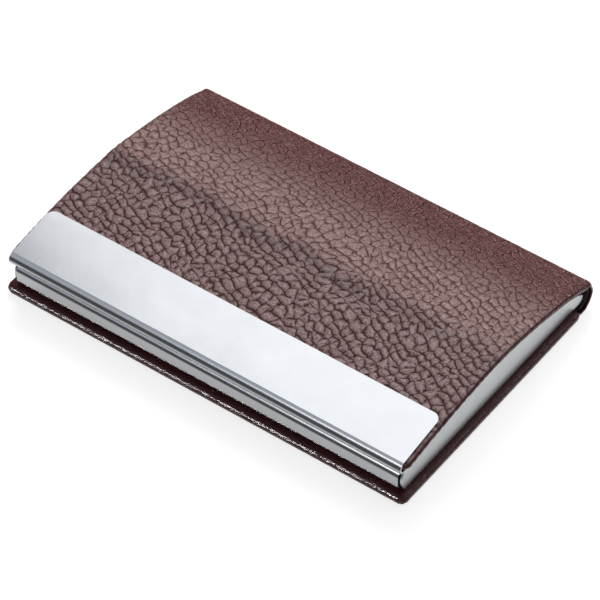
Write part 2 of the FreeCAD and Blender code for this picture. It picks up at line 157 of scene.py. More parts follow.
def crown_points():
    """The flap's top surface from its rear end to its front end."""
    y, z = CROWN_START
    for radius, fall, next_fall in reversed(CROWN_TURNS):
        a, b = math.radians(-next_fall), math.radians(-fall)
        y += radius * (math.sin(a) - math.sin(b))
        z += radius * (math.cos(b) - math.cos(a))
    points = [(y, z)]
    for radius, fall, next_fall in CROWN_TURNS:
        points += arc(points[-1], 180 - fall, radius, fall - next_fall)
    return points


def wrap_path():
    """Outer surface from the base's front edge, under it, up the spine and over the flap to its front."""
    points = [(BASE_THICKNESS / 2, 0.0)]
    points += line(points[-1], (TONGUE_END, 0.0))
    low = math.radians(SPINE_LOW)
    spine_start = (SPINE_CENTRE[0] + SPINE_OUTSIDE * math.cos(low),
                   SPINE_CENTRE[1] + SPINE_OUTSIDE * math.sin(low))
    points += bend(points[-1], 0, spine_start, SPINE_LOW + 90, LOW_FOLD_PULL)
    points += arc(points[-1], SPINE_LOW + 90, SPINE_OUTSIDE, SPINE_HIGH - SPINE_LOW, FINE_STEP)
    crown = crown_points()
    points += bend(points[-1], SPINE_HIGH + 90, crown[0], 180 - CROWN_TURNS[0][1], HIGH_FOLD_PULL)
    return Path(points + crown[1:])


WRAP = wrap_path()


def length_at(y, z):
    """Length along the wrap of its point nearest to a place."""
    return WRAP.at[np.argmin(np.hypot(WRAP.points[:, 0] - y, WRAP.points[:, 1] - z))]


TONGUE_S = length_at(TONGUE_END, 0.0)
CUT_S = length_at(SPINE_CENTRE[0] + SPINE_OUTSIDE, SPINE_CENTRE[1] - CUT_DROP)
FLAP_REAR_S = length_at(*crown_points()[0])
BOARD_END_S = length_at(BASE_BOARD_END, 0.0)
RIDGE_S = length_at(*RIDGE)
BASE_TAPER = (BOARD_END_S - 0.9, BOARD_END_S + 0.4)
BASE_NARROWING = (BOARD_END_S - 1.5, BOARD_END_S + 0.3)
FLAP_TAPER = (FLAP_REAR_S - 0.3, FLAP_REAR_S + 1.1)


def wrap_thickness(s):
    """Outer to inner surface of the wrap: with a board in the base and flap, leather alone between."""
    base = BASE_THICKNESS + (WRAP_IN_SPINE - BASE_THICKNESS) * smooth(s, *BASE_TAPER)
    flap = WRAP_IN_SPINE + (FLAP_THICKNESS - WRAP_IN_SPINE) * smooth(s, *FLAP_TAPER)
    return np.where(s < CUT_S, base, flap)


def wrap_half_width(s):
    """Half the wrap's width: the base is a little wider than the spine and the flap."""
    base = BASE_HALF_WIDTH + (SPINE_HALF_WIDTH - BASE_HALF_WIDTH) * smooth(s, *BASE_NARROWING)
    flap = SPINE_HALF_WIDTH + FLAP_WIDENING * smooth(s, FLAP_REAR_S, WRAP.length)
    return np.where(s < CUT_S, base, flap)


# Node trees --------------------------------------------------------------------------------------

class Nodes:
    """A small builder for a node tree. A value is a number, a colour, a socket or a node."""

    def __init__(self, tree):
        self.tree = tree

    def node(self, kind, settings=None, **inputs):
        """A node with its inputs set: i0, i1 and so on by number, or by name with _ for a space."""
        made = self.tree.nodes.new(kind)
        for key, value in (settings or {}).items():
            setattr(made, key, value)
        for key, value in inputs.items():
            self.put(made.inputs[int(key[1:]) if key[1:].isdigit() else key.replace("_", " ")], value)
        return made

    def put(self, socket, value):
        """Links a value to an input, or sets it there."""
        if isinstance(value, bpy.types.NodeSocket):
            self.tree.links.new(value, socket)
        elif isinstance(value, bpy.types.Node):
            self.tree.links.new(value.outputs[0], socket)
        else:
            socket.default_value = value

    def math(self, operation, a, b=0.0, clamp=False):
        """One step of arithmetic."""
        return self.node("ShaderNodeMath", {"operation": operation, "use_clamp": clamp}, i0=a, i1=b)

    def vector(self, operation, a, b):
        """One step of arithmetic on vectors."""
        return self.node("ShaderNodeVectorMath", {"operation": operation}, i0=a, i1=b).outputs[0]

    def plus(self, first, *others):
        """The sum of values."""
        for other in others:
            first = self.math("ADD", first, other)
        return first

    def times(self, first, *others):
        """The product of values."""
        for other in others:
            first = self.math("MULTIPLY", first, other)
        return first

    def rest(self, value):
        """What a value lacks to 1."""
        return self.math("SUBTRACT", 1.0, value)

    def span(self, value, low, high, to_low, to_high, curve="LINEAR"):
        """A value from low to high, as one from to_low to to_high."""
        return self.node("ShaderNodeMapRange", {"clamp": True, "interpolation_type": curve},
                         i0=value, i1=low, i2=high, i3=to_low, i4=to_high)

    def between(self, factor, a, b):
        """A number between a and b."""
        return self.node("ShaderNodeMix", {"data_type": "FLOAT"}, i0=factor, i2=a, i3=b).outputs[0]

    def mix(self, factor, a, b, blend="MIX"):
        """A colour between a and b."""
        settings = {"data_type": "RGBA", "blend_type": blend}
        return self.node("ShaderNodeMix", settings, i0=factor, i6=a, i7=b).outputs[2]

    def cells(self, place, feature, output, scale, spread):
        """A flat texture of cells."""
        return self.node("ShaderNodeTexVoronoi", {"voronoi_dimensions": "2D", "feature": feature},
                         Vector=place, Scale=scale, Randomness=spread).outputs[output]


# The grain ---------------------------------------------------------------------------------------

TABLE_SIZE = 256
DICE = np.random.RandomState(SEED).rand(TABLE_SIZE, TABLE_SIZE, 3)


def dice(ix, iy, salt):
    """Fixed random numbers, three for each whole place."""
    return DICE[(ix + 37 * salt) % TABLE_SIZE, (iy + 91 * salt) % TABLE_SIZE]


def soft_noise(u, v, size, salt):
    """Smooth noise from 0 to 1 whose bumps are about this size."""
    u, v = np.asarray(u) / size, np.asarray(v) / size
    iu, iv = np.floor(u).astype(int), np.floor(v).astype(int)
    fu, fv = smooth(u - iu, 0, 1), smooth(v - iv, 0, 1)
    low = dice(iu, iv, salt)[:, 0] * (1 - fu) + dice(iu + 1, iv, salt)[:, 0] * fu
    high = dice(iu, iv + 1, salt)[:, 0] * (1 - fu) + dice(iu + 1, iv + 1, salt)[:, 0] * fu
    return low * (1 - fv) + high * fv


PEBBLE_LENGTH, PEBBLE_WIDTH = 2.10, 1.85
PEBBLE = math.sqrt(PEBBLE_LENGTH * PEBBLE_WIDTH)
PEBBLE_SPREAD = 0.74
ROWS_TURN = math.radians(23.0)
ROW_GAP = (0.08, 0.42)

# Warps of the rows: reach and size in millimetres, and the salts along and across the wrap.
WARPS = ((0.5, 1.3, 1, 3), (1.2, 4.0, 2, 4), (0.30, 0.7, 12, 13), (2.2, 11.0, 14, 15))

RELIEF = 0.31
GROOVE_HALF_WIDTH = 0.90
PLATEAU_LEVEL = 0.85
SWELL, SWELL_SIZE, PEBBLE_SWELL = 0.09, 3.2, 0.04
CREASE_SLANT = 0.02
CREASE_AHEAD = 0.5
CREASE_HALF_WIDTH = 2.3
CREASE_WANDER, CREASE_WAVE = 2.2, 8.0
STEP_HEIGHT = 0.20
STEP_RISE, STEP_FALL = (-2.4, 1.0), (1.0, 9.0)
DENT_DEPTH, DENT_AHEAD, DENT_HALF_WIDTH = 0.10, 1.6, 1.3

# The relief flattens in stages behind the ridge: near and far distance, and share that goes. It comes
# back over the spine, between the last two distances.
FLATTENING = ((0.0, 9.0, 0.35), (9.0, 18.0, 0.35), (18.0, 26.0, 0.18))
SPINE_RELIEF = (38.0, 46.0)


def in_rows(u, s):
    """Pebble places: the pebbles lie in slanting rows, one unit apart along and across."""
    along = u * math.cos(ROWS_TURN) + s * math.sin(ROWS_TURN)
    across = s * math.cos(ROWS_TURN) - u * math.sin(ROWS_TURN)
    return np.stack([along / PEBBLE_LENGTH, across / PEBBLE_WIDTH, 0 * across], 1)


def pebbles_at(places):
    """Distance to the nearest groove in millimetres and a tone for each pebble, at pebble places.

    It reads the same cell texture that the leather's shader uses, so relief and colour agree.
    """
    mesh = bpy.data.meshes.new("places")
    mesh.from_pydata(places.tolist(), [], [])
    obj = bpy.data.objects.new("places", mesh)
    bpy.context.scene.collection.objects.link(obj)
    tree = bpy.data.node_groups.new("pebbles", "GeometryNodeTree")
    for way in ("INPUT", "OUTPUT"):
        tree.interface.new_socket("Geometry", in_out=way, socket_type="NodeSocketGeometry")
    nodes = Nodes(tree)
    here = nodes.node("GeometryNodeInputPosition")
    last = nodes.node("NodeGroupInput").outputs[0]
    for label, feature, output in (("border", "DISTANCE_TO_EDGE", "Distance"), ("tone", "F1", "Color")):
        value = nodes.cells(here, feature, output, 1.0, PEBBLE_SPREAD)
        last = nodes.node("GeometryNodeStoreNamedAttribute", {"data_type": "FLOAT_VECTOR"}, Geometry=last,
                          Name=label, Value=value).outputs[0]
    nodes.node("NodeGroupOutput", i0=last)
    obj.modifiers.new("pebbles", "NODES").node_group = tree
    result = obj.evaluated_get(bpy.context.evaluated_depsgraph_get()).data
    found = []
    for label in ("border", "tone"):
        values = np.zeros(3 * len(places), np.float32)
        result.attributes[label].data.foreach_get("vector", values)
        found.append(values.reshape(-1, 3)[:, 0].astype(float))
    bpy.data.objects.remove(obj)
    bpy.data.meshes.remove(mesh)
    bpy.data.node_groups.remove(tree)
    return found[0] * PEBBLE, found[1]


def fainter(u, full, right, least):
    """1 to the left of full, and less to the right down to least."""
    return least + (1 - least) * smooth(-u, -right, -full)


def grain(u, s):
    """The leather's surface at flat places: height in millimetres, crease 0 to 1, and pebble places."""
    warped_u, warped_s = u, s
    for reach, size, salt_u, salt_s in WARPS:
        warped_u = warped_u + reach * (soft_noise(u, s, size, salt_u) - 0.5)
        warped_s = warped_s + reach * (soft_noise(u, s, size, salt_s) - 0.5)
    places = in_rows(warped_u, warped_s)
    on_flap = s > CUT_S
    wander = CREASE_WANDER * (soft_noise(u, 0 * s, CREASE_WAVE, 5) - 0.5)
    behind = RIDGE_S + CREASE_AHEAD + CREASE_SLANT * u + wander - s
    crease = np.exp(-(behind / CREASE_HALF_WIDTH) ** 2) * fainter(u, 0.0, 46.0, 0.4) * on_flap
    strength = fainter(u, -10.0, 42.0, 0.45) * on_flap
    step = STEP_HEIGHT * strength * (smooth(behind, *STEP_RISE) - smooth(behind, *STEP_FALL))
    dent = -DENT_DEPTH * strength * np.exp(-((behind + DENT_AHEAD) / DENT_HALF_WIDTH) ** 2)
    rear = RIDGE_S - s
    flatness = sum(share * smooth(rear, near, far) for near, far, share in FLATTENING)
    flatness *= 1 - smooth(rear, *SPINE_RELIEF)
    border, tone = pebbles_at(places)
    between_rows = 1 - smooth(np.abs(places[:, 1] - np.round(places[:, 1])), *ROW_GAP)
    fall = (1 - np.clip(border / GROOVE_HALF_WIDTH, 0, 1)) ** 2
    dome = 1 - fall * (0.50 + 0.55 * between_rows)
    depth = RELIEF * (1 + 0.35 * crease) * (1 - flatness)
    swell = SWELL * (soft_noise(u, s, SWELL_SIZE, 9) - 0.5) + PEBBLE_SWELL * (tone - 0.5) * dome
    height = depth * (dome - PLATEAU_LEVEL) + swell * (1 - 0.8 * flatness) + step + dent
    return height, crease, places


# Mesh building -----------------------------------------------------------------------------------

def make_object(name, points, faces, attributes, material):
    """A smooth mesh object in the row frame from design frame points."""
    mesh = bpy.data.meshes.new(name)
    mesh.from_pydata(to_row(points).tolist(), [], faces)
    for label, values in attributes.items():
        layer = mesh.attributes.new(label, "FLOAT_VECTOR", "POINT")
        layer.data.foreach_set("vector", np.asarray(values, np.float32).ravel())
    mesh.polygons.foreach_set("use_smooth", [True] * len(mesh.polygons))
    mesh.materials.append(material)
    obj = bpy.data.objects.new(name, mesh)
    bpy.context.scene.collection.objects.link(obj)
    return obj


class Sheet:
    """A closed sheet along the wrap, between a straight cut and a round edge with rounded corners.

    Its outer face is a fine grid, its other faces are grids COARSE times wider. With a window, the
    sheet is a skin folded round a board: the skin turns in at the edges and stops at the window.
    Each point has a kind: 0 on the outer face, up to 1 round the edge, INNER on the inner face and
    the cut, and CAVITY in the room for the board.
    """

    COARSE = 3
    RINGS = 8
    CAVITY_RINGS = 3
    CAVITY_TRIM = 0.3
    INNER, CAVITY = 2.0, 3.0

    def __init__(self, s_cut, s_end, half_width, top, bottom, columns, rows, corner, square=(1.0, 1.0)):
        """Square is the shape of the edge's upper and lower half: 1 is round, less is fuller."""
        self.s_cut, self.s_end = s_cut, s_end
        self.half_width, self.top, self.bottom = half_width, top, bottom
        self.columns, self.rows, self.corner, self.square = columns, rows, corner, square
        self.way = math.copysign(1, s_end - s_cut)
        self.points, self.normals, self.flat, self.kind, self.faces = [], [], [], [], []
        self.count = 0

    def radius_at(self, s):
        """Radius of the round edge, which is half the sheet's thickness."""
        return (self.bottom(s) - self.top(s)) / 2

    def flat_half(self, s):
        """Half the width of the face between the round edges."""
        return self.half_width(s) - self.radius_at(s)

    def spot(self, i, j):
        """Sheet places of grid coordinates: i from -1 to 1 across, j from 0 at the cut to 1."""
        s = self.s_cut + (self.s_end - self.s_cut) * j
        half = self.flat_half(s)
        x = i * half
        c = self.corner
        px = np.clip((np.abs(x) - (half - c)) / c, 0, 1)
        ps = np.clip(1 - np.abs(self.s_end - s) / c, 0, 1)
        inside = (px > 0) & (ps > 0)
        rx, rs = px * np.sqrt(1 - ps * ps / 2), ps * np.sqrt(1 - px * px / 2)
        x = np.where(inside, np.sign(x) * (half - c + c * rx), x)
        s = np.where(inside, self.s_end - self.way * c * (1 - rs), s)
        return x, s

    def add(self, x, s, depth, away_x=0.0, away_s=0.0, normal=(0, 0, 1), shift=(0, 0), kind=0.0):
        """Adds vertices and returns their numbers.

        They lie at a depth under the wrap's outside and are moved away along the sheet. The shift is
        how much further out they are on the flat leather.
        """
        arrays = np.broadcast_arrays(x, s, depth, away_x, away_s, *normal, *shift, kind)
        shape = arrays[0].shape
        x, s, depth, away_x, away_s, along_x, along_s, up, shift_x, shift_s, kind = (
            a.astype(float).ravel() for a in arrays)
        p, t, n = WRAP.place(s)
        self.points.append(np.stack([x + away_x, p[:, 0] + t[:, 0] * away_s - n[:, 0] * depth,
                                     p[:, 1] + t[:, 1] * away_s - n[:, 1] * depth], 1))
        self.normals.append(np.stack([along_x, t[:, 0] * along_s + n[:, 0] * up,
                                      t[:, 1] * along_s + n[:, 1] * up], 1))
        self.flat.append(np.stack([x + shift_x, s + shift_s], 1))
        self.kind.append(kind)
        numbers = self.count + np.arange(x.size).reshape(shape)
        self.count += x.size
        return numbers

    @staticmethod
    def loop_of(grid):
        """Values round the border of a grid: left side, round end, right side, cut."""
        return np.concatenate([grid[0, :], grid[1:, -1], grid[-1, -2::-1], grid[-2:0:-1, 0]])

    @staticmethod
    def join(before, after):
        """Faces between two closed runs of the same length."""
        return np.stack([before, after, np.roll(after, -1), np.roll(before, -1)], 1).tolist()

    def grid_faces(self, numbers):
        """Faces of a whole grid."""
        quads = np.stack([numbers[:-1, :-1], numbers[:-1, 1:], numbers[1:, 1:], numbers[1:, :-1]], -1)
        self.faces += quads.reshape(-1, 4).tolist()

    def find_outward(self, i, j, x, s):
        """Sets the directions out of the sheet round its border. Returns where the border is the cut."""
        out_x = np.where(np.abs(i) == 1, i, 0.0)
        out_s = np.where(j == 1, self.way, 0.0)
        px = (np.abs(x) - (self.flat_half(s) - self.corner)) / self.corner
        ps = 1 - np.abs(self.s_end - s) / self.corner
        turning = (px > 0) & (ps > 0)
        out_x = np.where(turning, np.sign(x) * px, out_x)
        out_s = np.where(turning, self.way * ps, out_s)
        size = np.maximum(np.hypot(out_x, out_s), 1e-9)
        self.out_x, self.out_s = out_x / size, out_s / size
        return (out_x == 0) & (out_s == 0)

    def outer(self):
        """The outer face and the edge down to the inner face. Returns the edge's last run."""
        across, along = np.linspace(-1, 1, self.columns + 1), np.linspace(0, 1, self.rows + 1)
        i, j = np.meshgrid(across, along, indexing="ij")
        x, s = self.spot(i, j)
        numbers = self.add(x, s, self.top(s))
        self.grid_faces(numbers)
        edge_x, edge_s = self.loop_of(x), self.loop_of(s)
        cut = self.find_outward(self.loop_of(i), self.loop_of(j), edge_x, edge_s)
        top, self.radius = self.top(edge_s), self.radius_at(edge_s)
        last = self.loop_of(numbers)
        for k in range(1, self.RINGS + 1):
            turn = math.pi * k / self.RINGS
            power = self.square[0] if k < self.RINGS / 2 else self.square[1]
            away = self.radius * math.sin(turn) ** power
            rise = math.copysign(abs(math.cos(turn)) ** power, math.cos(turn))
            normal = (math.sin(turn) * self.out_x, math.sin(turn) * self.out_s, math.cos(turn))
            shift = (self.radius * turn * self.out_x, self.radius * turn * self.out_s)
            run = self.add(edge_x, edge_s, top + self.radius * (1 - rise), away * self.out_x,
                           away * self.out_s, normal, shift, np.where(cut, self.INNER, k / self.RINGS))
            self.faces += self.join(last, run)
            last = run
        return last

    def coarse_spots(self, window=None, trim=0.0):
        """Places of a coarse grid that starts a trim past the cut, and the cells of its window.

        The inner columns and rows are shifted so that the window's edges are on them.
        """
        na, nb = self.columns // self.COARSE, self.rows // self.COARSE
        a, b = np.linspace(-1, 1, na + 1), np.linspace(0, 1, nb + 1)
        hole = None
        if window is not None:
            wa = window[0] / float(self.half_width(self.s_end) - self.radius.max())
            wb = sorted((s - self.s_cut) / (self.s_end - self.s_cut) for s in window[1:])
            ka, kb = round((1 - wa) * na / 2), [round(w * nb) for w in wb]
            a = np.interp(np.arange(na + 1), [0, ka, na - ka, na], [-1, -wa, wa, 1])
            b = np.interp(np.arange(nb + 1), [0, kb[0], kb[1], nb], [0, wb[0], wb[1], 1])
            hole = (ka, na - ka, kb[0], kb[1])
        b = trim + (1 - trim) * b
        x, s = self.spot(*np.meshgrid(a, b, indexing="ij"))
        return x, s, hole

    def coarse_face(self, x, s, depth, border, hole, kind, up):
        """A coarse grid whose border is the fine run, leaving out the cells of a hole."""
        na, nb = x.shape[0] - 1, x.shape[1] - 1
        numbers = np.full(x.shape, -1)
        numbers[1:-1, 1:-1] = self.add(x[1:-1, 1:-1], s[1:-1, 1:-1], depth[1:-1, 1:-1],
                                       normal=(0.0, 0.0, up), kind=kind)
        size = len(border)
        step = size // (2 * (na + nb))
        positions = self.loop_of(np.arange(x.size).reshape(x.shape))
        numbers.ravel()[positions] = border[::step]
        on_border = {divmod(int(p), nb + 1): k * step for k, p in enumerate(positions)}
        for a in range(na):
            for b in range(nb):
                if hole is not None and hole[0] <= a < hole[1] and hole[2] <= b < hole[3]:
                    continue
                corners = [(a, b), (a, b + 1), (a + 1, b + 1), (a + 1, b)]
                face = []
                for corner, after in zip(corners, corners[1:] + corners[:1]):
                    face.append(int(numbers[corner]))
                    here, there = on_border.get(corner), on_border.get(after)
                    if here is None or there is None:
                        continue
                    gap = (there - here) % size
                    if gap == step:
                        face += [int(border[(here + m) % size]) for m in range(1, step)]
                    elif gap == size - step:
                        face += [int(border[(here - m) % size]) for m in range(1, step)]
                self.faces.append(face)
        return numbers

    def lip(self, first, second, hole):
        """Joins two coarse grids round the border of their hole."""
        a0, a1, b0, b1 = hole
        runs = [self.loop_of(grid[a0:a1 + 1, b0:b1 + 1]) for grid in (first, second)]
        self.faces += self.join(*runs)

    def cavity(self, window, skin):
        """The room for the board inside the skin. Returns the grid of its side next to the window."""
        x, s, hole = self.coarse_spots(window, self.CAVITY_TRIM / abs(self.s_end - self.s_cut))
        outside = self.add(x, s, self.top(s) + skin(s), kind=self.CAVITY)
        self.grid_faces(outside)
        edge_x, edge_s = self.loop_of(x), self.loop_of(s)
        out_x, out_s = self.out_x[::self.COARSE], self.out_s[::self.COARSE]
        radius = self.radius_at(edge_s) - skin(edge_s)
        last = self.loop_of(outside)
        for k in range(1, self.CAVITY_RINGS + 1):
            turn = math.pi * k / self.CAVITY_RINGS
            away = radius * math.sin(turn)
            depth = self.top(edge_s) + skin(edge_s) + radius * (1 - math.cos(turn))
            run = self.add(edge_x, edge_s, depth, away * out_x, away * out_s, kind=self.CAVITY)
            self.faces += self.join(last, run)
            last = run
        return self.coarse_face(x, s, self.bottom(s) - skin(s), last, hole, self.CAVITY, 1.0)

    def build(self, window=None, skin=None):
        """The whole closed sheet as arrays: points, outward normals, flat places, kinds, faces."""
        last = self.outer()
        x, s, hole = self.coarse_spots(window)
        inner = self.coarse_face(x, s, self.bottom(s), last, hole, self.INNER, -1.0)
        if window is not None:
            self.lip(inner, self.cavity(window, skin), hole)
        return (np.concatenate(self.points), np.concatenate(self.normals), np.concatenate(self.flat),
                np.concatenate(self.kind), self.faces)


def face_outwards(obj):
    """Turns the faces of a closed mesh so that all point out."""
    mesh = bmesh.new()
    mesh.from_mesh(obj.data)
    bmesh.ops.recalc_face_normals(mesh, faces=mesh.faces)
    mesh.to_mesh(obj.data)
    mesh.free()
    obj.data.update()


# Materials ---------------------------------------------------------------------------------------

def srgb(r, g, b):
    """A colour from 0 to 255 as the shader wants it."""
    linear = [((c / 255 + 0.055) / 1.055) ** 2.4 if c > 10 else c / 255 / 12.92 for c in (r, g, b)]
    return (*linear, 1.0)


def shaded(colour, share):
    """A colour darkened to this share."""
    return (*(share * c for c in colour[:3]), 1.0)


class Shader(Nodes):
    """A node material of its own."""

    def __init__(self, name):
        self.material = bpy.data.materials.new(name)
        self.material.use_nodes = True
        super().__init__(self.material.node_tree)
        self.bsdf = self.tree.nodes["Principled BSDF"]

    def set(self, **inputs):
        """Sets inputs of the surface shader."""
        for key, value in inputs.items():
            self.put(self.bsdf.inputs[key.replace("_", " ")], value)

    def place(self, attribute=None):
        """Where on the piece: a stored place at rest, or the CAD node's own place, in millimetres."""
        if attribute:
            return self.node("ShaderNodeAttribute", {"attribute_name": attribute}).outputs["Vector"]
        own = self.node("ShaderNodeTexCoord").outputs["Object"]
        return self.node("ShaderNodeVectorMath", {"operation": "SCALE"}, i0=own, Scale=1 / MM).outputs[0]

    def noise(self, place, scale, detail=3.0, rough=0.55):
        """Cloudy noise from 0 to 1."""
        return self.node("ShaderNodeTexNoise", Vector=place, Scale=scale, Detail=detail,
                         Roughness=rough).outputs["Fac"]

    def bump(self, height, strength, distance):
        """A normal from a height."""
        return self.node("ShaderNodeBump", Strength=strength, Distance=distance, Height=height).outputs[0]


WHITE = (1, 1, 1, 1)
# The zone colours paint light and shade onto one leather: lighter and greyer at the front and behind the
# crease as painted sheen, dark red on the tail as painted shade.
LEATHER_FRONT_SHEEN = srgb(117, 88, 86)
LEATHER_BACK_SHEEN = srgb(132, 101, 96)
LEATHER_TAIL_SHADE = srgb(78, 32, 28)
# Painted glints: light lines on the tail, along the pebbles' edges and the small cells.
LEATHER_PAINTED_GLINT = srgb(166, 132, 124)
# Painted shade in the crease band.
LEATHER_CREASE_SHADE = srgb(82, 57, 60)
# Dark red of the edges and turn-ins: partly their own colour, partly painted shade.
LEATHER_EDGE = srgb(60, 5, 11)
# Painted contact shadow at the foot of the base's edge.
LEATHER_EDGE_SHADOW = srgb(26, 1, 4)
# Grooves: dark partly by their own colour and partly as painted shade; lighter on the tail.
LEATHER_CRACK = srgb(48, 11, 13)
LEATHER_TAIL_CRACK = srgb(60, 22, 19)
CLOTH_DARK, CLOTH_LIGHT = srgb(14, 14, 16), srgb(38, 38, 42)

# These multiply other colours.
LEATHER_WARM = (1.0, 0.84, 0.80, 1)
LEATHER_LIGHTER = (1.50, 1.54, 1.54, 1)
LEATHER_DEEPER = (0.62, 0.52, 0.52, 1)
SHADED_SHINE = (0.25, 0.22, 0.22, 1)

# Design frame Y between which the leather's colour turns lighter behind the crease, as painted sheen,
# and darker on the tail, as painted shade.
BACK_START, BACK_END = 29.0, 35.0
TAIL_START, TAIL_END = 44.0, 56.0

# Design frame Z above which the tail lies, and between which the painted contact shadow at the foot of
# the base's edge fades out.
TAIL_ABOVE = 5.0
EDGE_DARK, EDGE_LIGHT = 0.5, 1.5

BACK_GROOVES = 0.70
EDGE_SMOOTHNESS = 0.85
MINOR_CELLS, MINOR_SPREAD = 2.6, 0.95


def leather_material(name, specular, rough_low, rough_high, wrinkle):
    """Pebbled leather, with painted light and shade: pale pebbles between dark grooves, dark red where it is
    turned in.

    A wrinkle is the height of its soft folds in millimetres.
    """
    m = Shader(name)
    place = m.place("rest_place")
    flat = m.place("grain_place")
    marks = m.node("ShaderNodeSeparateXYZ", i0=m.place("grain_marks"))
    edge, crease, inner = marks.outputs[0], marks.outputs[1], marks.outputs[2]
    own = m.node("ShaderNodeSeparateXYZ", i0=place)
    outer = m.rest(inner)
    off_edge = m.rest(m.times(edge, EDGE_SMOOTHNESS))
    open_skin = m.times(outer, off_edge)
    back = m.span(own.outputs[1], BACK_START, BACK_END, 0.0, 1.0)
    soft = m.span(back, 0.0, 1.0, 1.0, BACK_GROOVES)
    tail = m.times(m.span(own.outputs[1], TAIL_START, TAIL_END, 0.0, 1.0),
                   m.math("GREATER_THAN", own.outputs[2], TAIL_ABOVE))
    # under: painted contact shadow at the foot of the base's edge, in its colour and its shine.
    under = m.times(edge, m.span(own.outputs[2], EDGE_DARK, EDGE_LIGHT, 1.0, 0.0))

    # Textures: the pebbles and smaller cells on them, and noise from wide clouds down to pores.
    border = m.cells(flat, "DISTANCE_TO_EDGE", "Distance", 1.0, PEBBLE_SPREAD)
    tone = m.cells(flat, "F1", "Color", 1.0, PEBBLE_SPREAD)
    minor = m.cells(flat, "DISTANCE_TO_EDGE", "Distance", MINOR_CELLS, MINOR_SPREAD)
    cloud = m.noise(place, 0.09, 2.0)
    patch = m.noise(place, 0.45, 2.0)
    mottle = m.noise(place, 0.9, 4.0, 0.65)
    speck = m.noise(place, 2.1, 2.0, 0.7)
    pore = m.noise(place, 3.2, 3.0, 0.6)
    stretched = m.vector("MULTIPLY", place, (1.5, 1.9, 1.9))
    folds = m.noise(stretched, 1.0, 3.0, 0.6)

    # Grooves: stronger between the rows of pebbles than along them.
    row = m.node("ShaderNodeSeparateXYZ", i0=flat).outputs[1]
    between_rows = m.span(m.math("PINGPONG", row, 0.5), *ROW_GAP, 1.0, 0.0)
    width = m.times(m.span(patch, 0.3, 0.7, 0.050, 0.090), m.plus(between_rows, 0.40))
    groove = m.math("SUBTRACT", 1.0, m.math("DIVIDE", border, width), clamp=True)
    groove = m.times(groove, open_skin)
    # hollow: painted shade along the grooves, softer behind the crease.
    hollow = m.times(m.span(border, 0.02, 0.26, 1.0, 0.0), m.plus(between_rows, 0.35))
    hollow = m.math("MULTIPLY", hollow, m.times(open_skin, soft), clamp=True)
    fine = m.times(m.span(minor, 0.0, 0.13, 1.0, 0.0), m.span(mottle, 0.38, 0.60, 0.0, 1.0))
    minor_groove = m.times(fine, off_edge)

    # Colour: the zones of the flap with their painted sheen and shade, mottled, then the edge with its
    # painted shade, the grooves, partly painted shade, and painted glints on the tail.
    zone = m.mix(tail, m.mix(back, LEATHER_FRONT_SHEEN, LEATHER_BACK_SHEEN), LEATHER_TAIL_SHADE)
    crack = m.mix(tail, LEATHER_CRACK, LEATHER_TAIL_CRACK)
    light = m.mix(1.0, zone, LEATHER_LIGHTER, "MULTIPLY")
    deep = m.mix(1.0, zone, LEATHER_DEEPER, "MULTIPLY")
    warm = m.mix(0.75, zone, LEATHER_WARM, "MULTIPLY")
    colour = m.mix(m.span(cloud, 0.35, 0.65, 0.0, 0.5), zone, warm)
    colour = m.mix(m.span(mottle, 0.3, 0.7, 0.0, 0.6), colour, light)
    colour = m.mix(m.times(tone, 0.35), colour, light)
    colour = m.mix(m.span(speck, 0.48, 0.66, 0.0, 0.85), colour, light)
    colour = m.mix(m.span(speck, 0.34, 0.50, 0.85, 0.0), colour, deep)
    # Painted shade in the crease band.
    colour = m.mix(m.times(crease, 0.6), colour, LEATHER_CREASE_SHADE)
    # The edge's dark red, partly painted shade, and the painted contact shadow at the foot of the base's
    # edge.
    colour = m.mix(edge, colour, m.mix(under, LEATHER_EDGE, LEATHER_EDGE_SHADOW))
    # Grooves and small cells darkened, partly their own colour and partly painted shade; hollows all painted
    # shade.
    colour = m.mix(m.times(hollow, 0.50), colour, crack)
    colour = m.mix(m.times(minor_groove, m.span(tail, 0.0, 1.0, 0.50, 0.10)), colour, crack)
    colour = m.mix(m.times(m.span(groove, 0.0, 0.8, 0.0, 0.90), soft), colour, crack)
    # Painted glints on the tail: light lines along the pebbles' edges and along the small cells.
    ridge = m.times(m.span(border, 0.09, 0.14, 0.0, 1.0), m.span(border, 0.14, 0.22, 1.0, 0.0))
    painted_glint = m.times(ridge, between_rows, tail, m.span(patch, 0.38, 0.60, 0.3, 1.0), outer)
    glint_wrinkles = m.times(m.span(minor, 0.03, 0.13, 1.0, 0.0), m.span(speck, 0.50, 0.62, 0.0, 0.70))
    painted_glint = m.math("MAXIMUM", painted_glint, m.times(glint_wrinkles, tail, open_skin))
    m.set(Base_Color=m.mix(painted_glint, colour, LEATHER_PAINTED_GLINT))

    # Gloss: duller in the grooves and where it is turned in. Painted shade dims the shine's tint in grooves,
    # hollows and at the foot of the base's edge, with hardly any shine in hollows; random specks dim it too.
    rough = m.plus(m.span(mottle, 0.25, 0.75, rough_low, rough_high), m.times(inner, 0.25))
    m.set(Roughness=m.plus(rough, m.times(groove, 0.25)))
    # Painted shade on the shine: its tint darkens in grooves, hollows and at the foot of the base's edge.
    cavity = m.plus(m.times(groove, soft), m.times(hollow, 0.5), m.times(minor_groove, 0.4))
    cavity = m.plus(cavity, m.times(m.span(speck, 0.36, 0.52, 0.75, 0.0), open_skin))
    cavity = m.math("ADD", cavity, under, clamp=True)
    m.set(Specular_Tint=m.mix(cavity, WHITE, SHADED_SHINE))
    m.set(Specular_IOR_Level=specular)

    relief = m.plus(m.times(groove, -0.10), m.times(minor_groove, -0.055), m.times(pore, 0.020))
    relief = m.plus(relief, m.times(folds, m.span(inner, 0.0, 1.0, wrinkle, 0.25 * wrinkle)))
    m.set(Normal=m.bump(relief, 1.0, MM))
    return m.material


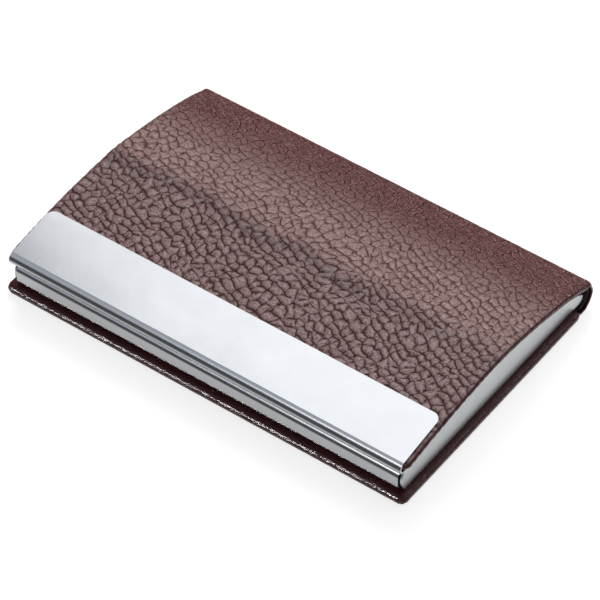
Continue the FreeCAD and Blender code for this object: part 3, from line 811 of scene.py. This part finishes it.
def steel_material(name, colour, rough_low, rough_high, brushed):
    """Bare steel with fine lines along X if brushed, otherwise an even satin."""
    m = Shader(name)
    place = m.place()
    along = m.vector("MULTIPLY", place, (0.035, 1.0, 1.0)) if brushed else place
    lines = m.noise(along, 9.0 if brushed else 3.0, 3.0, 0.6)
    cloud = m.noise(place, 0.12, 2.0)
    tint = m.mix(m.span(lines, 0.3, 0.7, 0.0, 1.0), shaded(colour, 0.93), colour)
    m.set(Base_Color=m.mix(m.span(cloud, 0.3, 0.7, 0.0, 0.25), tint, shaded(colour, 0.9)))
    uneven = m.plus(m.times(lines, 0.7), m.times(cloud, 0.3))
    m.set(Roughness=m.span(uneven, 0.3, 0.7, rough_low, rough_high))
    m.set(Normal=m.bump(lines, 0.12, 0.02 * MM))
    m.set(Metallic=1.0)
    if brushed:
        m.set(Anisotropic=0.35)
    return m.material


def fabric_material(name, place_name=None):
    """Thin black woven book cloth."""
    m = Shader(name)
    place = m.place(place_name)
    threads = [m.node("ShaderNodeTexWave", {"bands_direction": way}, Vector=place, Scale=1.1,
                      Distortion=0.6) for way in "XY"]
    cloth = m.math("MAXIMUM", *(thread.outputs["Fac"] for thread in threads))
    fluff = m.noise(place, 0.8, 4.0, 0.6)
    m.set(Base_Color=m.mix(m.span(m.times(cloth, fluff), 0.15, 0.7, 0.0, 1.0), CLOTH_DARK, CLOTH_LIGHT))
    m.set(Roughness=m.span(fluff, 0.2, 0.8, 0.7, 0.95))
    m.set(Normal=m.bump(cloth, 0.35, 0.06 * MM))
    m.set(Sheen_Weight=0.15)
    return m.material


def plain_material(name, dark, light, scale, rough_low, rough_high, metallic=0.0):
    """Board, tape, moulded plastic or plated magnets: mottled colour over a fine relief."""
    m = Shader(name)
    place = m.place()
    mottle = m.noise(place, scale, 5.0, 0.65)
    fleck = m.noise(place, scale * 6, 2.0, 0.5)
    m.set(Base_Color=m.mix(m.span(mottle, 0.3, 0.7, 0.0, 1.0), dark, light))
    m.set(Roughness=m.span(fleck, 0.3, 0.7, rough_low, rough_high))
    m.set(Normal=m.bump(fleck, 0.4, 0.03 * MM))
    m.set(Metallic=metallic)
    return m.material


leather = leather_material("leather_grain", specular=1.0, rough_low=0.28, rough_high=0.42, wrinkle=0.0)
leather_edge = leather_material("leather_edge", specular=0.22, rough_low=0.09, rough_high=0.18, wrinkle=0.14)
lining = fabric_material("lining_cloth")
fold_lining = fabric_material("fold_cloth", "rest_place")
clip_steel = steel_material("steel_brushed", (0.422, 0.428, 0.440, 1), 0.13, 0.24, brushed=True)
tray_steel = steel_material("steel_satin", (0.53, 0.55, 0.56, 1), 0.30, 0.42, brushed=False)
board = plain_material("grey_board", srgb(120, 112, 100), srgb(150, 141, 128), 0.8, 0.85, 0.98)
tape = plain_material("tape_film", srgb(196, 190, 172), srgb(214, 209, 194), 0.25, 0.35, 0.5)
plastic = plain_material("black_plastic", srgb(20, 20, 22), srgb(32, 32, 34), 0.6, 0.38, 0.52)
magnet = plain_material("plated_magnet", srgb(150, 150, 152), srgb(178, 178, 178), 0.5, 0.18, 0.3, 1.0)

FINISHES = {"base_board": board, "tray_tape": tape, "card_tray": tray_steel, "magnet_holder": plastic,
            "tray_magnet_left": magnet, "tray_magnet_right": magnet, "front_strip": clip_steel,
            "front_clip": clip_steel, "flap_board": board, "flap_lining": lining,
            "flap_magnet_left": magnet, "flap_magnet_right": magnet}
for label, finish in FINISHES.items():
    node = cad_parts[label]
    node.data.materials.clear()
    node.data.materials.append(finish)

# The leather and the lining of the folds ---------------------------------------------------------

COLUMNS = 312
FLAP_ROWS = 219
BASE_ROWS = 213
FLAP_CORNER = 1.2
BASE_CORNER = 0.3
BASE_SQUARE = (0.65, 0.8)
FLAP_SQUARE = (1.0, 1.0)
SKIN_SHARE = 0.38
MARGIN_DROP = 0.3
MARGIN_START, MARGIN_END = 0.4, 2.6
CURL_START, CURL_END, CURL = 45.9, 46.9, 0.55
CURL_RISE = (CUT_S + 0.2, CUT_S + 1.8)


def press_margin(points, kind):
    """Lowers the top of the base near its front and side edges, where the leather is pulled tight."""
    x, y, z = points.T
    inward = np.minimum(CAD_HIGH.x / MM - np.abs(x), y)
    on_top = (z > BASE_THICKNESS / 2) * (kind < Sheet.CAVITY) * (y < BASE_BOARD_END)
    near = (1 - smooth(inward, MARGIN_START, MARGIN_END)) * on_top
    points[:, 2] -= MARGIN_DROP * near * z / BASE_THICKNESS


def curl_sides(points, s):
    """Curls the thin leather at the ends of the spine in, so that it runs into the flap's round edges."""
    over = np.clip((np.abs(points[:, 0]) - CURL_START) / (CURL_END - CURL_START), 0, 1)
    along = smooth(s, *CURL_RISE) * (1 - smooth(s, *FLAP_TAPER))
    inward = CURL * (1 - np.sqrt(1 - over ** 2)) * along
    points[:, 1:] -= WRAP.place(s)[2] * inward[:, None]


def constant(value):
    """A measure that is the same all along the wrap."""
    return lambda s: value + 0 * np.asarray(s, float)


def of_half(measure, s_end):
    """A measure of the wrap as one of its halves has it, the same past the cut as just before it."""
    if s_end > CUT_S:
        return lambda s: measure(np.maximum(s, CUT_S))
    return lambda s: measure(np.minimum(s, np.nextafter(CUT_S, 0)))


def leather_piece(name, s_end, rows, corner, square, window, edge_band, edge_grain):
    """One half of the wrap, from the cut in the middle of the spine to its own far edge.

    Its grain fades to edge_grain over edge_band, a share of the way round the edge.
    """
    thickness = of_half(wrap_thickness, s_end)
    sheet = Sheet(CUT_S, s_end, of_half(wrap_half_width, s_end), constant(0), thickness, COLUMNS, rows,
                  corner, square)
    points, normals, flat, kind, faces = sheet.build(
        window, lambda s: np.minimum(LEATHER, SKIN_SHARE * thickness(s)))
    height, crease, warped = grain(flat[:, 0], flat[:, 1])
    over_edge = kind < Sheet.INNER
    fade = (1 - edge_grain) * smooth(kind, 0.15 * edge_band, edge_band + 0.10)
    fade += edge_grain * smooth(kind, 0.75, 1.0)
    weight = np.where(over_edge, 1 - fade, 0)
    size = np.maximum(np.linalg.norm(normals, axis=1), 1e-9)[:, None]
    rest = points.copy()
    points = points + normals / size * (height * weight)[:, None]
    if s_end < CUT_S:
        press_margin(points, kind)
    else:
        curl_sides(points, flat[:, 1])
    edge = np.where(over_edge, smooth(kind, 0.15 * edge_band, edge_band), 1)
    marks = np.stack([edge, crease, ~over_edge], 1)
    places = {"rest_place": rest, "grain_place": warped, "grain_marks": marks}
    obj = make_object(name, points, faces, places, leather)
    obj.data.materials.append(leather_edge)
    dark = (edge > 0.5) | (flat[:, 1] < BOARD_END_S + 1.0)
    obj.data.polygons.foreach_set("material_index", [int(all(dark[v] for v in f)) for f in faces])
    face_outwards(obj)
    return obj


def length_on(y, on_flap):
    """Length along the wrap at this design Y, on the flap or under the base."""
    here = WRAP.at > FLAP_REAR_S if on_flap else WRAP.at < TONGUE_S
    ys, lengths = WRAP.points[here, 0], WRAP.at[here]
    order = np.argsort(ys)
    return float(np.interp(y, ys[order], lengths[order]))


def window_of(node, on_flap):
    """Half width and the two lengths along the wrap of the window that a CAD node fills."""
    low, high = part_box(node)
    ends = [length_on(y / MM + DEPTH / 2, on_flap) for y in (low.y, high.y)]
    return (high.x / MM, *ends)


# Each fold bends between two places in the side view, (y, z).
FOLD_LOW = ((62.3, 0.5), (63.6, 1.9))
FOLD_HIGH = ((64.3, 4.2), (63.8, 5.8))


def finish_half(piece, fold, nodes):
    """Bakes a piece's transform into its mesh and lets it stand for these nodes, which it hides."""
    start, end = (tuple(place) for place in to_row([(0.0, y, z) for y, z in fold]))
    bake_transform(piece)
    if nodes:
        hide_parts(*nodes)


base_wrap = leather_piece("base_wrap", 0.0, BASE_ROWS, BASE_CORNER, BASE_SQUARE,
                          window_of("tray_tape", on_flap=False), edge_band=0.12, edge_grain=0.08)
flap_wrap = leather_piece("flap_wrap", WRAP.length, FLAP_ROWS, FLAP_CORNER, FLAP_SQUARE,
                          window_of("flap_lining", on_flap=True), edge_band=0.35, edge_grain=0.3)
finish_half(base_wrap, FOLD_LOW, ["base_leather", "spine_leather"])
finish_half(flap_wrap, FOLD_HIGH, ["flap_leather"])

LINING_THICKNESS = 0.4
LINING_GAP = 0.01
LINING_HALF_WIDTH = 46.3
LINING_CORNER = 0.4
LINING_COLUMNS, LINING_ROWS = 156, 24
LINING_LOW_S = BOARD_END_S + 0.7
LINING_HIGH_S = FLAP_REAR_S + 0.2


def lining_piece(name, s_end):
    """Half of the lining inside the spine, from the cut in the middle to past one fold."""
    sheet = Sheet(CUT_S, s_end, constant(LINING_HALF_WIDTH), constant(WRAP_IN_SPINE + LINING_GAP),
                  constant(WRAP_IN_SPINE + LINING_THICKNESS), LINING_COLUMNS, LINING_ROWS, LINING_CORNER)
    points, _, _, _, faces = sheet.build()
    obj = make_object(name, points, faces, {"rest_place": points}, fold_lining)
    face_outwards(obj)
    return obj


lining_low = lining_piece("spine_lining_low", LINING_LOW_S)
lining_high = lining_piece("spine_lining_high", LINING_HIGH_S)
finish_half(lining_low, FOLD_LOW, ["spine_lining"])
finish_half(lining_high, FOLD_HIGH, [])

# Floor, light and camera ---------------------------------------------------------------------------
# Lengths here are in metres, apart from the camera's.

FLOOR_HALF = 3.0
FLOOR_DROP = 0.0002
FLOOR_GREY = (0.38, 0.38, 0.38, 1)
FLOOR_GLOW = 0.78
TABLE_MARGIN = 0.012
TABLE_FADE = (0.005, 0.015)
ROOM_DARK = (0.05, 0.05, 0.055, 1)


def dim_reflections(look):
    """In reflections the floor is dark away from the case, as round a small white table."""
    glossy = look.node("ShaderNodeLightPath").outputs["Is Glossy Ray"]
    here = look.node("ShaderNodeNewGeometry").outputs["Position"]
    half = (CAD_HIGH.x + TABLE_MARGIN, CAD_HIGH.y, 1.0)
    over = look.vector("SUBTRACT", look.vector("ABSOLUTE", here, (0, 0, 0)), half)
    over = look.vector("MAXIMUM", over, (0, 0, 0))
    away = look.node("ShaderNodeVectorMath", {"operation": "LENGTH"}, i0=over).outputs["Value"]
    factor = look.times(glossy, look.span(away, *TABLE_FADE, 0.0, 0.9))
    dark = look.node("ShaderNodeEmission", Color=ROOM_DARK)
    mixed = look.node("ShaderNodeMixShader", i0=factor, i1=look.bsdf.outputs[0], i2=dark)
    look.put(look.tree.nodes["Material Output"].inputs["Surface"], mixed)


def make_floor():
    """A pale paper floor just under the case."""
    ways = ((-1, -1), (1, -1), (1, 1), (-1, 1))
    corners = [(x * FLOOR_HALF, y * FLOOR_HALF, -FLOOR_DROP) for x, y in ways]
    mesh = bpy.data.meshes.new("floor")
    mesh.from_pydata(corners, [], [(0, 1, 2, 3)])
    look = Shader("floor_paper")
    look.set(Base_Color=FLOOR_GREY, Roughness=0.9, Specular_IOR_Level=0.1)
    look.set(Emission_Color=WHITE, Emission_Strength=FLOOR_GLOW)
    dim_reflections(look)
    mesh.materials.append(look.material)
    floor = bpy.data.objects.new("floor", mesh)
    bpy.context.scene.collection.objects.link(floor)
    return floor


floor = make_floor()

LIGHT_TARGET = Vector((0, 0, 0.01))


def soft_light(name, towards, distance, size, power):
    """A soft box in this direction from the case, facing it."""
    data = bpy.data.lights.new(name, "AREA")
    data.shape = "RECTANGLE"
    data.size, data.size_y = size
    data.energy = power
    light = bpy.data.objects.new(name, data)
    spot = Vector(towards).normalized() * distance + LIGHT_TARGET
    aim = (LIGHT_TARGET - spot).to_track_quat("-Z", "Y")
    light.matrix_world = Matrix.Translation(spot) @ aim.to_matrix().to_4x4()
    bpy.context.scene.collection.objects.link(light)
    return light


def light_only(light, pieces, state="INCLUDE"):
    """Lets a light reach only these pieces, or with EXCLUDE all but these."""
    group = bpy.data.collections.new(light.name + "_reach")
    for place, piece in enumerate(pieces):
        group.objects.link(piece)
        group.collection_objects[place].light_linking.link_state = state
    light.light_linking.receiver_collection = group


soft_light("light_top", (-0.155, 0.52, 0.84), distance=1.3, size=(1.15, 0.95), power=6.5)
key = soft_light("light_key", (-0.45, 0.62, 0.80), distance=1.3, size=(0.45, 0.35), power=5.5)
front_card = soft_light("card_front", (-0.16, -0.72, 0.63), distance=0.62, size=(0.24, 0.20), power=0.40)
rim_front = soft_light("rim_front", (-0.40, -0.90, 0.34), distance=0.62, size=(0.50, 0.03), power=16.0)
rim_side = soft_light("rim_side", (0.66, 0.56, 0.50), distance=0.60, size=(0.40, 0.03), power=0.9)
key.visible_glossy = False
for card in (front_card, rim_front, rim_side):
    card.visible_diffuse = False
light_only(front_card, [flap_wrap], "EXCLUDE")
light_only(rim_front, [base_wrap])
light_only(rim_side, [base_wrap, flap_wrap])

ROOM_LIGHT = 0.32
ROOM_TINT = (0.93, 0.98, 1.07, 1)


def studio_world():
    """An even white room; in reflections it is cooler, and lighter in front than behind."""
    world = bpy.data.worlds.new("studio")
    world.use_nodes = True
    room = Nodes(world.node_tree)
    glossy = room.node("ShaderNodeLightPath").outputs["Is Glossy Ray"]
    way = room.node("ShaderNodeTexCoord").outputs["Generated"]
    axes = room.node("ShaderNodeSeparateXYZ", i0=way)
    in_front = room.span(axes.outputs[1], 0.30, -0.20, 0.0, 1.0, "SMOOTHSTEP")
    front = room.span(axes.outputs[2], 0.10, 0.65, 0.06, 0.78, "SMOOTHSTEP")
    behind = room.span(axes.outputs[2], 0.25, 0.70, 0.15, 0.42, "SMOOTHSTEP")
    background = world.node_tree.nodes["Background"]
    room.put(background.inputs["Color"], room.mix(glossy, WHITE, ROOM_TINT))
    seen = room.between(in_front, behind, front)
    room.put(background.inputs["Strength"], room.between(glossy, ROOM_LIGHT, seen))
    return world


bpy.context.scene.world = studio_world()

# The camera looks at its target from a distance, turned about Z and tilted back from looking down.
CAMERA_TURN, CAMERA_TILT = math.radians(36.1038), math.radians(43.7918)
CAMERA_TARGET = Vector((0.224, -0.222, -0.295))
CAMERA_DISTANCE = 779.641
CAMERA_LENS, CAMERA_SENSOR = 239.8, 36.0


def make_camera():
    """A long lens without shift or depth of field."""
    data = bpy.data.cameras.new("camera")
    data.sensor_width, data.lens = CAMERA_SENSOR, CAMERA_LENS
    data.clip_start, data.clip_end = 0.05, 20.0
    camera = bpy.data.objects.new("camera", data)
    bpy.context.scene.collection.objects.link(camera)
    turned = Matrix.Rotation(CAMERA_TURN, 4, "Z") @ Matrix.Rotation(CAMERA_TILT, 4, "X")
    spot = CAMERA_TARGET + turned.col[2].to_3d() * CAMERA_DISTANCE
    camera.matrix_world = Matrix.Translation(spot * MM) @ turned
    return camera


bpy.context.scene.camera = make_camera()
bpy.context.scene.view_settings.view_transform = "Standard"
